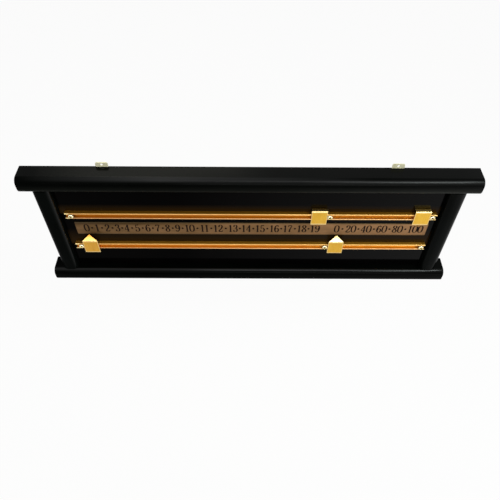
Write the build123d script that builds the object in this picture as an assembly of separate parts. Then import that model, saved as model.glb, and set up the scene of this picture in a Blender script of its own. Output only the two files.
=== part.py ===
from build123d import *
import os

# Billiard scoreboard for two players, hung on a wall.
# Sizes are in millimetres. X runs along the board, +Y goes into the wall and +Z is up, so the
# front of the board faces -Y. The origin is on the wall plane, midway between the two hanger
# holes, which are the points the board hangs from.

# Frame: two mouldings of one stock, with a pair of posts between them
board_length = 762.0
board_height = 267.0
stock_depth = 36.0
stock_thickness = 30.5
stock_edge_radius = 11.5
post_width = 30.0
post_depth = 31.0
post_edge_radius = 11.0
post_setback = 17.0  # the mouldings run past the posts by this much
end_ease = 0.8  # small bevel round the sawn ends

# Back panel, let into grooves all round
panel_front = 16.6  # from the wall to the panel's face
panel_thickness = 9.0
groove_depth = 8.0
groove_clearance = 0.3  # behind the panel
panel_edge_gap = 0.5  # from the panel's edge to the bottom of its groove

# Number strip
strip_left_margin = 18.6  # from the strip's left end to the post
strip_right_margin = 11.5
strip_height = 31.7
strip_rise = 0.95  # above the panel's centre line
strip_thickness = 1.2
strip_corner_radius = 1.0

# Slotted tracks, one for each player
track_left_gap = 9.3  # from the track's left end to the post
track_right_gap = 5.3
track_spacing = 80.65  # between the two tracks' centre lines
tracks_drop = 1.7  # of the pair of tracks, below the panel's centre line
track_width = 13.3
track_depth = 7.5
track_wall = 1.4
track_slot = 8.3
track_edge_radius = 1.2

# Round-head screws, which hold the tracks and stop the pointers
left_screw_inset = 10.4  # from the track's left end
right_screw_inset = 6.9
twenties_run = 180.8  # from the middle screw to the one at the right-hand end
track_head_radius = 5.0
track_head_height = 2.8
track_shank_radius = 1.75
track_screw_length = 14.0
track_hole_clearance = 0.25

# Pointers, folded from brass sheet
pointer_width = 27.8
pointer_height = 32.5
pointer_sheet = 1.2
pointer_bend_radius = 1.9  # to the outside of the sheet
tip_height = 11.0
tip_flat = 1.0  # blunt end of the tip
pointer_gap = 0.8  # between the track's lips and the back of the pointer
flange_clearance = 1.0  # from the panel
tip_clearance = 0.8  # from the number strip
slide_clearance = 0.25  # round the slider in its track
stop_clearance = 0.3  # from a resting pointer to its screw

# Hanger plates
hanger_inset = 137.0  # from the board's end to the plate's centre line
hanger_width = 20.6
hanger_thickness = 1.6
hanger_rise = 8.8  # above the board
hanger_drop = 24.0  # down its back
hanger_corner_radius = 3.0
hanger_hole_radius = 2.3
hanger_hole_rise = 4.4
hanger_fit = 0.2  # round the plate in its rebate

# Countersunk screws of the hanger plates
plate_screw_drops = (7.5, 17.0)  # below the top of the board
plate_head_radius = 3.2
plate_shank_radius = 1.6
plate_screw_length = 16.0
plate_screw_clearance = 0.1

# Dowels in the frame's corners
dowel_radius = 4.0
dowel_length = 40.0
dowel_ys = (-8.5, -22.0)
dowel_clearance = 0.05
dowel_end_room = 1.0  # past each end of a dowel

# Places worked out from the sizes above
top_z = -hanger_hole_rise
bottom_z = top_z - board_height
post_length = board_height - 2 * stock_thickness
post_bottom_z = bottom_z + stock_thickness
post_top_z = post_bottom_z + post_length
post_outer_x = board_length / 2 - post_setback
post_inner_x = post_outer_x - post_width
face_z = (post_bottom_z + post_top_z) / 2  # centre line of the panel
panel_reach = groove_depth - panel_edge_gap
panel_width = 2 * (post_inner_x + panel_reach)
panel_height = post_length + 2 * panel_reach
groove_width = panel_thickness + groove_clearance
dowel_x = (post_outer_x + post_inner_x + groove_depth) / 2
dowel_hole_span = dowel_length + 2 * dowel_end_room
hanger_x = board_length / 2 - hanger_inset
strip_left_x = strip_left_margin - post_inner_x
strip_right_x = post_inner_x - strip_right_margin
strip_front = panel_front + strip_thickness
track_left_x = track_left_gap - post_inner_x
track_right_x = post_inner_x - track_right_gap
track_front = panel_front + track_depth
pointer_back = track_front + pointer_gap
pointer_front = pointer_back + pointer_sheet
upper_track_z = face_z - tracks_drop + track_spacing / 2
lower_track_z = face_z - tracks_drop - track_spacing / 2
left_screw_x = track_left_x + left_screw_inset
right_screw_x = track_right_x - right_screw_inset
middle_screw_x = right_screw_x - twenties_run
screw_xs = (left_screw_x, middle_screw_x, right_screw_x)
stop_offset = track_head_radius + pointer_width / 2 + stop_clearance


def moulding():
    """A frame moulding along X with rounded front edges, its back and underside on the axes."""
    section = Plane.YZ * Rectangle(stock_depth, stock_thickness, align=(Align.MAX, Align.MIN))
    section = fillet(section.vertices().group_by(Axis.Y)[0], stock_edge_radius)
    bar = extrude(section, board_length / 2, both=True)
    return chamfer(bar.faces().filter_by(Axis.X).edges(), end_ease)


def panel_groove(length):
    """The cutter for a panel groove: along X, with its mouth on z = 0 and its depth upwards."""
    groove = Box(length, groove_width, groove_depth, align=(Align.CENTER, Align.MIN, Align.MIN))
    return Pos(0, -panel_front, 0) * groove


def dowel_places(z):
    """The places of the four dowels that cross the joint plane at height z."""
    return [Pos(side * dowel_x, y, z) for side in (-1, 1) for y in dowel_ys]


def drill_for_dowels(piece, z):
    """Drills a frame member for the dowels that cross the joint plane at height z."""
    hole = Cylinder(dowel_radius, dowel_hole_span)
    for place in dowel_places(z):
        piece -= place * hole
    return piece


def base_rail():
    groove_span = panel_width + 2 * panel_edge_gap
    groove = Pos(0, 0, post_bottom_z - groove_depth) * panel_groove(groove_span)
    rail = Pos(0, 0, bottom_z) * moulding() - groove
    return drill_for_dowels(rail, post_bottom_z)


def hanger_rebate(x):
    """The cutter for the rebate that lets a hanger plate in flush with the wall plane."""
    width = hanger_width + 2 * hanger_fit
    height = hanger_drop + hanger_fit
    rebate = Box(width, hanger_thickness, height, align=(Align.CENTER, Align.MAX, Align.MAX))
    return Pos(x, 0, top_z) * rebate


def cap_rail():
    groove_span = panel_width + 2 * panel_edge_gap
    rail = Pos(0, 0, post_top_z) * moulding()
    rail -= Pos(0, 0, post_top_z) * panel_groove(groove_span)
    rail = drill_for_dowels(rail, post_top_z)
    pilot = Rot(90, 0, 0) * Cylinder(
        plate_shank_radius, plate_screw_length, align=(Align.CENTER, Align.CENTER, Align.MIN)
    )
    for x in (-hanger_x, hanger_x):
        rail -= hanger_rebate(x)
        for drop in plate_screw_drops:
            rail -= Pos(x, 0, top_z - drop) * pilot
    return rail


def post(side):
    """A post, with the panel's groove in its inner side; side is -1 on the left, 1 on the right."""
    outline = Rectangle(post_width, post_depth, align=(Align.CENTER, Align.MAX))
    outline = fillet(outline.vertices().group_by(Axis.Y)[0], post_edge_radius)
    bar = extrude(outline, post_length)
    groove = Box(groove_depth, groove_width, post_length, align=(Align.MAX, Align.MIN, Align.MIN))
    bar -= Pos(post_width / 2, -panel_front, 0) * groove
    if side > 0:
        bar = mirror(bar, about=Plane.YZ)
    centre_x = side * (post_outer_x + post_inner_x) / 2
    bar = Pos(centre_x, 0, post_bottom_z) * bar
    bar = drill_for_dowels(bar, post_bottom_z)
    return drill_for_dowels(bar, post_top_z)


def dowels(z):
    """The four dowels that cross the joint plane at height z."""
    peg = Cylinder(dowel_radius - dowel_clearance, dowel_length)
    return Compound(children=[place * peg for place in dowel_places(z)])


def back_panel():
    sheet = Box(panel_width, panel_thickness, panel_height, align=(Align.CENTER, Align.MIN, Align.CENTER))
    sheet = Pos(0, -panel_front, face_z) * sheet
    pilot_length = track_screw_length - track_depth
    pilot = Cylinder(track_shank_radius, pilot_length, align=(Align.CENTER, Align.CENTER, Align.MAX))
    for z in (upper_track_z, lower_track_z):
        for x in screw_xs:
            sheet -= Pos(x, -panel_front, z) * Rot(90, 0, 0) * pilot
    return sheet


def number_strip():
    length = strip_right_x - strip_left_x
    outline = Plane.XZ * RectangleRounded(length, strip_height, strip_corner_radius)
    strip = extrude(outline, strip_thickness)
    return Pos((strip_left_x + strip_right_x) / 2, -panel_front, face_z + strip_rise) * strip


def track(z):
    """A brass channel with lips turned in over its slot, drilled for its three screws."""
    half = track_width / 2
    cavity = half - track_wall
    outer = Rectangle(track_depth, track_width, align=(Align.MAX, Align.CENTER))
    outer = fillet(outer.vertices().group_by(Axis.X)[0], track_edge_radius)
    inside = Rectangle(track_depth - 2 * track_wall, 2 * cavity, align=(Align.MAX, Align.CENTER))
    slot = Rectangle(track_depth - track_wall, track_slot, align=(Align.MAX, Align.CENTER))
    section = Plane.YZ * (outer - Pos(-track_wall, 0) * inside - Pos(-track_wall, 0) * slot)
    bar = Pos(track_left_x, 0, 0) * extrude(section, track_right_x - track_left_x)
    hole = Rot(90, 0, 0) * Cylinder(track_shank_radius + track_hole_clearance, 4 * track_wall)
    for x in screw_xs:
        bar -= Pos(x, 0, 0) * hole
    return Pos(0, -panel_front, z) * bar


def round_head_screw():
    """A round-head screw, its head's seat on y = 0 and its shank towards +Y."""
    dome = TangentArc((0, -track_head_height), (track_head_radius, 0), tangent=(1, 0))
    rest = Polyline(
        (track_head_radius, 0),
        (track_shank_radius, 0),
        (track_shank_radius, track_screw_length),
        (0, track_screw_length),
        (0, -track_head_height),
    )
    return revolve(make_face(dome + rest), Axis.Y)


def track_screws(z):
    screw = round_head_screw()
    return Compound(children=[Pos(x, -track_front, z) * screw for x in screw_xs])


def pointer_plate():
    """A folded pointer centred on x = 0 and z = 0: flange below, face, and a tip bent back above."""
    half = pointer_height / 2
    flange_end = panel_front + flange_clearance
    tip_depth = pointer_back - strip_front - tip_clearance
    with BuildPart() as plate:
        with BuildSketch(Plane.YZ):
            with BuildLine():
                FilletPolyline(
                    (-flange_end, -half),
                    (-pointer_front, -half),
                    (-pointer_front, half),
                    (tip_depth - pointer_front, half + tip_height),
                    radius=pointer_bend_radius,
                )
                offset(amount=pointer_sheet, side=Side.RIGHT)
            make_face()
        extrude(amount=pointer_width / 2, both=True)
        tip_length = (tip_height**2 + tip_depth**2) ** 0.5
        tip_plane = Plane(
            origin=(0, -pointer_front, half), x_dir=(1, 0, 0), z_dir=(0, -tip_height, tip_depth)
        )
        with BuildSketch(tip_plane):
            wide = pointer_width / 2
            Polygon(
                (-wide, -2 * pointer_height),
                (wide, -2 * pointer_height),
                (wide, 0),
                (tip_flat / 2, tip_length),
                (-tip_flat / 2, tip_length),
                (-wide, 0),
                align=None,
            )
        extrude(amount=2 * pointer_height, both=True, mode=Mode.INTERSECT)
    return plate.part


def pointer(x, z, tip_up):
    plate = pointer_plate()
    if not tip_up:
        plate = mirror(plate, about=Plane.XY)
    return Pos(x, 0, z) * plate


def slider(x, z):
    """The T-shaped block behind a pointer: its foot runs in the track and its neck in the slot."""
    foot_width = track_width - 2 * track_wall - 2 * slide_clearance
    foot_depth = track_depth - 2 * track_wall - 2 * slide_clearance
    foot_front = track_front - track_wall - slide_clearance
    neck_width = track_slot - 2 * slide_clearance
    foot = Box(pointer_width, foot_depth, foot_width, align=(Align.CENTER, Align.MIN, Align.CENTER))
    neck = Box(
        pointer_width,
        pointer_back - foot_front,
        neck_width,
        align=(Align.CENTER, Align.MIN, Align.CENTER),
    )
    block = Pos(0, -foot_front, 0) * foot + Pos(0, -pointer_back, 0) * neck
    return Pos(x, 0, z) * block


def hanger_plate(x):
    """A hanger plate let into the back of the cap, with its ear and hole above the board."""
    height = hanger_rise + hanger_drop
    outline = Plane.XZ * RectangleRounded(hanger_width, height, hanger_corner_radius)
    middle_z = top_z + (hanger_rise - hanger_drop) / 2
    plate = Pos(x, 0, middle_z) * extrude(outline, hanger_thickness)
    through = Rot(90, 0, 0) * Cylinder(hanger_hole_radius, 4 * hanger_thickness)
    plate -= Pos(x, 0, 0) * through
    countersink = Rot(90, 0, 0) * Cone(
        plate_head_radius + plate_screw_clearance,
        plate_shank_radius + plate_screw_clearance,
        hanger_thickness,
        align=(Align.CENTER, Align.CENTER, Align.MIN),
    )
    for drop in plate_screw_drops:
        plate -= Pos(x, 0, top_z - drop) * countersink
    return plate


def plate_screws(x):
    """The countersunk screws of one hanger plate, flush with the wall plane."""
    outline = Polyline(
        (0, 0),
        (plate_head_radius, 0),
        (plate_shank_radius, -hanger_thickness),
        (plate_shank_radius, -plate_screw_length),
        (0, -plate_screw_length),
        (0, 0),
    )
    screw = revolve(make_face(outline), Axis.Y)
    return Compound(children=[Pos(x, 0, top_z - drop) * screw for drop in plate_screw_drops])


units_stop_x = middle_screw_x - stop_offset
twenties_stop_x = middle_screw_x + stop_offset
left_stop_x = left_screw_x + stop_offset
right_stop_x = right_screw_x - stop_offset

pointer_places = {
    "upper_units": (units_stop_x, upper_track_z, False),
    "upper_twenties": (right_stop_x, upper_track_z, False),
    "lower_units": (left_stop_x, lower_track_z, True),
    "lower_twenties": (twenties_stop_x, lower_track_z, True),
}

pieces = {
    "cap_rail": cap_rail(),
    "base_rail": base_rail(),
    "left_post": post(-1),
    "right_post": post(1),
    "cap_dowels": dowels(post_top_z),
    "base_dowels": dowels(post_bottom_z),
    "back_panel": back_panel(),
    "number_strip": number_strip(),
    "upper_track": track(upper_track_z),
    "lower_track": track(lower_track_z),
    "upper_track_screws": track_screws(upper_track_z),
    "lower_track_screws": track_screws(lower_track_z),
    "left_hanger_plate": hanger_plate(-hanger_x),
    "right_hanger_plate": hanger_plate(hanger_x),
    "left_plate_screws": plate_screws(-hanger_x),
    "right_plate_screws": plate_screws(hanger_x),
}
for name, (x, z, tip_up) in pointer_places.items():
    pieces[name + "_pointer"] = pointer(x, z, tip_up)
    pieces[name + "_slider"] = slider(x, z)

os.makedirs("parts", exist_ok=True)
for name, piece in pieces.items():
    piece.label = name
    export_step(piece, "parts/" + name + ".step")

print("units travel", round(units_stop_x - left_stop_x, 2))
print("twenties travel", round(right_stop_x - twenties_stop_x, 2))
print("bottom of the board", round(bottom_z, 2), "centre line", round(face_z, 2))
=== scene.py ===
import math

import bmesh
import bpy
import numpy as np
from mathutils import Matrix, Vector


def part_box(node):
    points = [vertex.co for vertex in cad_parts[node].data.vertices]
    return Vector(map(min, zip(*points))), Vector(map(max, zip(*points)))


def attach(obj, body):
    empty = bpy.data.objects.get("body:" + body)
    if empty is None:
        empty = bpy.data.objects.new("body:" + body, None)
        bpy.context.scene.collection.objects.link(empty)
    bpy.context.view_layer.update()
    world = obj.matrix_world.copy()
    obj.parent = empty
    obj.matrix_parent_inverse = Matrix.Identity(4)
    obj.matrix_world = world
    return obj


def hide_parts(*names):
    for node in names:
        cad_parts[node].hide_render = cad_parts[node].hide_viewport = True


# A billiard scoreboard for two players, in black lacquered wood with brass fittings. Points are
# worked out in millimetres, in the CAD model's frame, and become metres in add_piece.

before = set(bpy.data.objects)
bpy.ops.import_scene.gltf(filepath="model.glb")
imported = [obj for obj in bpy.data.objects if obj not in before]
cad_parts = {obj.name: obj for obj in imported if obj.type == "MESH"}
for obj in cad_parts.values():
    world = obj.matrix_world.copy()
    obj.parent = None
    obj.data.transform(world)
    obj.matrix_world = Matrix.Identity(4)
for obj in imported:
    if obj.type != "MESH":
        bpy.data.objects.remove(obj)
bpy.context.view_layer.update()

MM = 0.001
CREASE = math.radians(35)  # edges sharper than this stay hard
EASED_ANGLE = math.radians(50)  # edges sharper than this take a piece's small bevel
FINE_STEPS, SMALL_STEPS, FOLD_STEPS = 17, 7, 9  # points of a rounded corner

# Frame stock, as sawn and rounded
RAIL_RADIUS = 11.5
POST_RADIUS = 11.0
RAIL_CORNERS, POST_CORNERS = 10, 8  # corners of their sections
NEAR_CORNER, FAR_CORNER = 5, 6  # a section's rounded corners: beside the opening, and away from it
BACK_CORNER = 7  # where a rail's outer side meets its back
END_EASE = 0.8  # quarter round on the sawn ends
# Where a rounded corner is worn: its middle and spread, in degrees of turn from the front
BASE_WEAR, CAP_WEAR, LEFT_WEAR, RIGHT_WEAR = (62, 10), (44, 10), (60, 14), (42, 25)
GROOVE_DEPTH = 8.0
GROOVE_WIDTH = 9.3
GROOVE_END_ROOM = 0.5  # past the panel's edge, at each end of a rail's groove
REBATE_ROOM = 0.2  # round a hanger plate

# Brass fittings
STRIP_CORNER = 1.0
STRIP_EDGE = 0.45  # rolled front edge of the number strip
TRACK_WALL = 1.4
TRACK_SLOT = 8.3
TRACK_CORNER = 1.2
TRACK_BACK_CORNER = 0.15
TRACK_INNER_CORNER = 0.3
LIP_CORNER = 0.35
TRACK_EASE = 0.2
SHEET = 1.2  # the pointers' brass
FOLD_RADIUS = 1.9
TIP_HEIGHT = 11.0
TIP_END = 0.5  # half the tip's blunt end
TIP_ROOM = 0.8  # from a tip to the number strip
POINTER_EASE = 0.35
EDGE_SHEEN_WIDTH = 1.6  # how far in from a pointer's edges its painted highlight reaches
HEAD_RADIUS = 5.0
HEAD_HEIGHT = 2.8
HEAD_RIM = 0.15  # of the head's height, upright at its rim
HEAD_CURVE = 2.2  # power of its dome: 2 would be an ellipse
HEAD_RECESS = (3.2, 1.7, 2.0)  # reach, width and depth of a cross recess
HEAD_RINGS, HEAD_SIDES = 30, 72
STOP_CLEARANCE = 0.3  # from a resting pointer to its screw
SHANK_RADIUS = 1.75
SHANK_SIDES = 40
POINT_LENGTH = 2.5
POINT_RADIUS = 0.3
PLATE_HEAD_RADIUS = 3.2
PLATE_HEAD_DEPTH = 1.6
PLATE_HEAD_RINGS, PLATE_HEAD_SIDES = 24, 64
PLATE_RECESS = (1.9, 0.8, 1.0)
PLATE_SHANK_RADIUS = 1.6
PLATE_SHANK_LENGTH = 13.5  # from the head's face to the point
RECESS_WALL = 0.25  # over which a recess falls at its sides
RECESS_END = 0.45  # over which it falls at its ends

# Numerals
NUMERAL_HEIGHT = 18.8
NUMERAL_EM = 17.5  # 1 across in a glyph's own coordinates, as NUMERAL_HEIGHT is 1 up
NUMERAL_LIFT = 0.9  # above the strip's centre line
SIDE_ROOM = 0.03  # blank at each side of a glyph, in its coordinates
THICK_STROKE = 0.155  # in the glyph's coordinates, where the pen runs up or down
THIN_STROKE = 0.05  # where it runs sideways
INK_RAISE = 0.04  # how far the first stroke stands on the strip
INK_STEP = 0.004  # each next stroke stands this much further, so that no two faces coincide
INK_ROOT = 0.1  # how far a stroke's sides go down into the strip


def span(node):
    """The lowest and highest corners of a CAD node, in millimetres."""
    low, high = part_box(node)
    return np.array(low) / MM, np.array(high) / MM


# Shapes

def rounded(corners, radii, steps):
    """A polygon with its corners rounded: (corners * steps, 2) points.

    At a corner c with unit directions u and v to its neighbours, the arc's centre lies on their
    bisector at r / sin(half angle), the tangent points lie r / tan(half angle) along u and v, and
    the arc turns evenly from one tangent point to the other. A radius of 0 repeats the corner."""
    corners = np.asarray(corners, float)
    radii = np.asarray(radii, float)[:, None]
    u = np.roll(corners, 1, axis=0) - corners
    v = np.roll(corners, -1, axis=0) - corners
    u /= np.maximum(np.linalg.norm(u, axis=1, keepdims=True), 1e-9)
    v /= np.maximum(np.linalg.norm(v, axis=1, keepdims=True), 1e-9)
    half = np.arccos(np.clip((u * v).sum(1, keepdims=True), -1, 1)) / 2
    half = np.where(radii > 0, half, math.pi / 4)
    bisector = u + v
    bisector /= np.maximum(np.linalg.norm(bisector, axis=1, keepdims=True), 1e-9)
    centre = corners + bisector * radii / np.sin(half)
    start = corners + u * radii / np.tan(half) - centre
    stop = corners + v * radii / np.tan(half) - centre
    turn = (math.pi - 2 * half)[:, :, None]
    k = np.linspace(0, 1, steps)[None, :, None]
    arc = start[:, None] * np.sin((1 - k) * turn) + stop[:, None] * np.sin(k * turn)
    points = centre[:, None] + arc / np.sin(turn)
    points = np.where(radii[:, :, None] > 0, points, corners[:, None])
    return points.reshape(-1, 2)


def skin(rings):
    """A closed skin through rings of points (rings, points, 3): a quad joins each two neighbours
    of a ring to the same two of the next ring, and the first and the last ring are filled flat."""
    count, size = rings.shape[:2]
    i = np.arange(count - 1)[:, None]
    j = np.arange(size)[None, :]
    k = (j + 1) % size
    corners = (i * size + j, i * size + k, (i + 1) * size + k, (i + 1) * size + j)
    faces = np.stack(np.broadcast_arrays(*corners), -1).reshape(-1, 4).tolist()
    faces.append(list(range(size)))
    faces.append(list(range((count - 1) * size, count * size)))
    return rings.reshape(-1, 3), faces


def add_piece(name, body, finish, nodes, shells, bevel=0.0, marks=None):
    """Joins shells, each (points in mm, faces), into one object that stands for CAD nodes. Each of
    marks is a number for every point, which the finish reads as an attribute of that name."""
    points, faces, first = [], [], 0
    for shell_points, shell_faces in shells:
        points.append(shell_points)
        faces.extend([[first + i for i in face] for face in shell_faces])
        first += len(shell_points)
    mesh = bpy.data.meshes.new(name)
    mesh.from_pydata((np.concatenate(points) * MM).tolist(), [], faces)
    for mark, values in (marks or {}).items():
        mesh.attributes.new(mark, "FLOAT", "POINT").data.foreach_set("value", values)
    work = bmesh.new()
    work.from_mesh(mesh)
    bmesh.ops.remove_doubles(work, verts=work.verts, dist=1e-6)
    bmesh.ops.dissolve_degenerate(work, edges=work.edges, dist=1e-7)
    bmesh.ops.recalc_face_normals(work, faces=work.faces)
    work.to_mesh(mesh)
    work.free()
    mesh.shade_smooth()
    mesh.set_sharp_from_angle(angle=CREASE)
    mesh.materials.append(finish)
    piece = bpy.data.objects.new(name, mesh)
    bpy.context.scene.collection.objects.link(piece)
    if bevel:
        modifier = piece.modifiers.new("eased_edges", "BEVEL")
        modifier.width = bevel * MM
        modifier.segments = 3
        modifier.limit_method = "ANGLE"
        modifier.angle_limit = EASED_ANGLE
        modifier.harden_normals = True
    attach(piece, body)
    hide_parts(*nodes)


def eased_ends(half_length):
    """Stations along a sawn bar as (x, inset): a quarter round at each end, from x = E sin a and
    inset = E (1 - cos a), where E is the ease and a runs from the end face to the side."""
    angles = np.radians([90, 60, 30, 0])
    x = half_length - END_EASE + END_EASE * np.sin(angles)
    inset = END_EASE * (1 - np.cos(angles))
    return [(-a, b) for a, b in zip(x, inset)], [(a, b) for a, b in zip(x, inset)][::-1]


def rubbed(corners, corner, rings, middle, spread):
    """The worn mark of a bar's rings: over one rounded front corner, where the surface turns by
    the angle a from 0 at the front to 90 degrees at the side, it is
    exp(-((a - middle) / spread)^2 / 2)."""
    angle = np.linspace(0, 90, FINE_STEPS)
    if corner == NEAR_CORNER:
        angle = angle[::-1]
    wear_and_sheen = np.zeros((corners, FINE_STEPS))
    wear_and_sheen[corner] = np.exp(-(((angle - middle) / spread) ** 2) / 2)
    return np.tile(wear_and_sheen.ravel(), rings)


def rail_marks(sign, rings):
    """The marks of a rail. The base has worn along its upper front corner. On the cap, where a is
    the turn of a rounded corner from the front, edge follows the same bell over the upper corner,
    crown rises with a from 31 to 58 degrees there and falls from 75 to 90, top rises from 78 and
    is 1 on the flat top, and chin is 0.25 + sin a, up to 1, over the lower corner: there a grey
    sheen is painted into the cap's colour, a painted reflection."""
    if sign < 0:
        return {"wear_and_sheen": rubbed(RAIL_CORNERS, NEAR_CORNER, rings, *BASE_WEAR)}
    angle = np.linspace(0, 90, FINE_STEPS)
    crown, top, chin = np.zeros((3, RAIL_CORNERS, FINE_STEPS))
    crown[FAR_CORNER] = np.clip((angle - 31) / 27, 0, 1) * np.clip((90 - angle) / 15, 0, 1)
    top[FAR_CORNER] = np.clip((angle - 78) / 12, 0, 1)
    top[BACK_CORNER] = 1
    chin[NEAR_CORNER] = np.minimum(0.25 + np.sin(np.radians(angle[::-1])), 1)
    marks = {"crown": crown, "top": top, "chin": chin}
    marks = {mark: np.tile(values.ravel(), rings) for mark, values in marks.items()}
    marks["edge"] = rubbed(RAIL_CORNERS, FAR_CORNER, rings, *CAP_WEAR)
    return marks


def rail(name, nodes, sign, joint_z, rebates, finish):
    """A frame moulding carried along X: a rectangle with two rounded front corners. Its section
    is measured from the joint plane outwards, and has the panel's groove and the hanger plates'
    rebates only between their own stations."""
    low, high = span(nodes[0])
    depth, thickness = -low[1], high[2] - low[2]
    panel_low, panel_high = span("back_panel")
    groove_half = panel_high[0] + GROOVE_END_ROOM
    groove_front = panel_low[1]
    plate_low, plate_high = span("left_hanger_plate")
    plate_depth = -plate_low[1]
    rebate_bottom = thickness - (high[2] - plate_low[2]) - REBATE_ROOM if rebates else thickness / 2

    def section(inset, groove, rebate):
        """The outline at one station, with its groove and its rebate as deep as they are there."""
        near, far = inset, thickness - inset
        corners = [
            (-inset, near),
            (groove_front + GROOVE_WIDTH, near),
            (groove_front + GROOVE_WIDTH, near + groove),
            (groove_front, near + groove),
            (groove_front, near),
            (inset - depth, near),
            (inset - depth, far),
            (-inset - rebate, far),
            (-inset - rebate, rebate_bottom),
            (-inset, rebate_bottom),
        ]
        edge = RAIL_RADIUS - inset
        return rounded(corners, [0, 0, 0, 0, 0, edge, edge, 0, 0, 0], FINE_STEPS)

    left_end, right_end = eased_ends(high[0])
    cuts = [(-groove_half, 0), (groove_half, 0)]
    if rebates:
        half = (plate_high[0] - plate_low[0]) / 2 + REBATE_ROOM
        middle = (plate_high[0] + plate_low[0]) / 2
        for x in (middle, -middle):
            cuts += [(x - half, 1), (x + half, 1)]
    cuts.sort()
    stations = [(x, inset, 0, 0) for x, inset in left_end]
    groove, rebate = 0, 0
    for x, is_rebate in cuts:
        stations.append((x, 0, groove, rebate))
        if is_rebate:
            rebate = plate_depth - rebate
        else:
            groove = GROOVE_DEPTH - groove
        stations.append((x, 0, groove, rebate))
    stations += [(x, inset, 0, 0) for x, inset in right_end]
    rings = []
    for x, inset, groove, rebate in stations:
        yz = section(inset, groove, rebate)
        rings.append(np.column_stack([np.full(len(yz), x), yz[:, 0], joint_z + sign * yz[:, 1]]))
    shells = [skin(np.array(rings))]
    marks = rail_marks(sign, len(rings))
    add_piece(name, "board", finish, nodes, shells, marks=marks)


def post(name, node, side):
    """A frame post carried along Z: a rectangle with two rounded front corners, and the panel's
    groove in its inner side. The left post is worn on its inner corner, the right on its outer."""
    low, high = span(node)
    width, depth = high[0] - low[0], -low[1]
    inner = low[0] if side > 0 else -high[0]
    front = span("back_panel")[0][1]
    corners = [
        (0, 0),
        (0, front + GROOVE_WIDTH),
        (GROOVE_DEPTH, front + GROOVE_WIDTH),
        (GROOVE_DEPTH, front),
        (0, front),
        (0, -depth),
        (width, -depth),
        (width, 0),
    ]
    xy = rounded(corners, [0, 0, 0, 0, 0, POST_RADIUS, POST_RADIUS, 0], FINE_STEPS)
    xy[:, 0] = side * (inner + xy[:, 0])
    rings = np.array([np.column_stack([xy, np.full(len(xy), z)]) for z in (low[2], high[2])])
    corner, wear = (FAR_CORNER, RIGHT_WEAR) if side > 0 else (NEAR_CORNER, LEFT_WEAR)
    marks = {"wear_and_sheen": rubbed(POST_CORNERS, corner, len(rings), *wear)}
    add_piece(name, "board", LACQUER_Z, [node], [skin(rings)], marks=marks)


def number_strip():
    """The number strip: its rounded outline is carried from the panel to the front, and the rings
    of its rolled edge shrink by E (1 - cos a) while they rise by E sin a."""
    low, high = span("number_strip")
    width, height = high[0] - low[0], high[2] - low[2]
    centre_x, centre_z = (low[0] + high[0]) / 2, (low[2] + high[2]) / 2
    rings = []
    for y, inset in [(high[1], 0)] + [
        (low[1] + STRIP_EDGE * (1 - math.sin(a)), STRIP_EDGE * (1 - math.cos(a)))
        for a in np.radians([0, 22.5, 45, 67.5, 90])
    ]:
        w, h = width / 2 - inset, height / 2 - inset
        corner = STRIP_CORNER - inset
        x, z = rounded([(-w, -h), (w, -h), (w, h), (-w, h)], [corner] * 4, SMALL_STEPS).T
        rings.append(np.column_stack([centre_x + x, np.full(len(x), y), centre_z + z]))
    return [skin(np.array(rings))]


def track(name, node):
    """A slotted channel carried along X, with rounded front corners and rounded lips."""
    low, high = span(node)
    z = (low[2] + high[2]) / 2
    half, depth = (high[2] - low[2]) / 2, high[1] - low[1]
    lip, cavity, slot = depth - TRACK_WALL, half - TRACK_WALL, TRACK_SLOT / 2
    outline = [
        (0, -half, TRACK_BACK_CORNER),
        (0, half, TRACK_BACK_CORNER),
        (depth, half, TRACK_CORNER),
        (depth, slot, LIP_CORNER),
        (lip, slot, LIP_CORNER),
        (lip, cavity, TRACK_INNER_CORNER),
        (TRACK_WALL, cavity, TRACK_INNER_CORNER),
        (TRACK_WALL, -cavity, TRACK_INNER_CORNER),
        (lip, -cavity, TRACK_INNER_CORNER),
        (lip, -slot, LIP_CORNER),
        (depth, -slot, LIP_CORNER),
        (depth, -half, TRACK_CORNER),
    ]
    rise, up = rounded([p[:2] for p in outline], [p[2] for p in outline], SMALL_STEPS).T
    ends = (low[0], high[0])
    rings = [np.column_stack([np.full(len(up), x), high[1] - rise, z + up]) for x in ends]
    shells = [skin(np.array(rings))]
    add_piece(name, "board", DRAWN_BRASS, [node], shells, bevel=TRACK_EASE)


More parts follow.
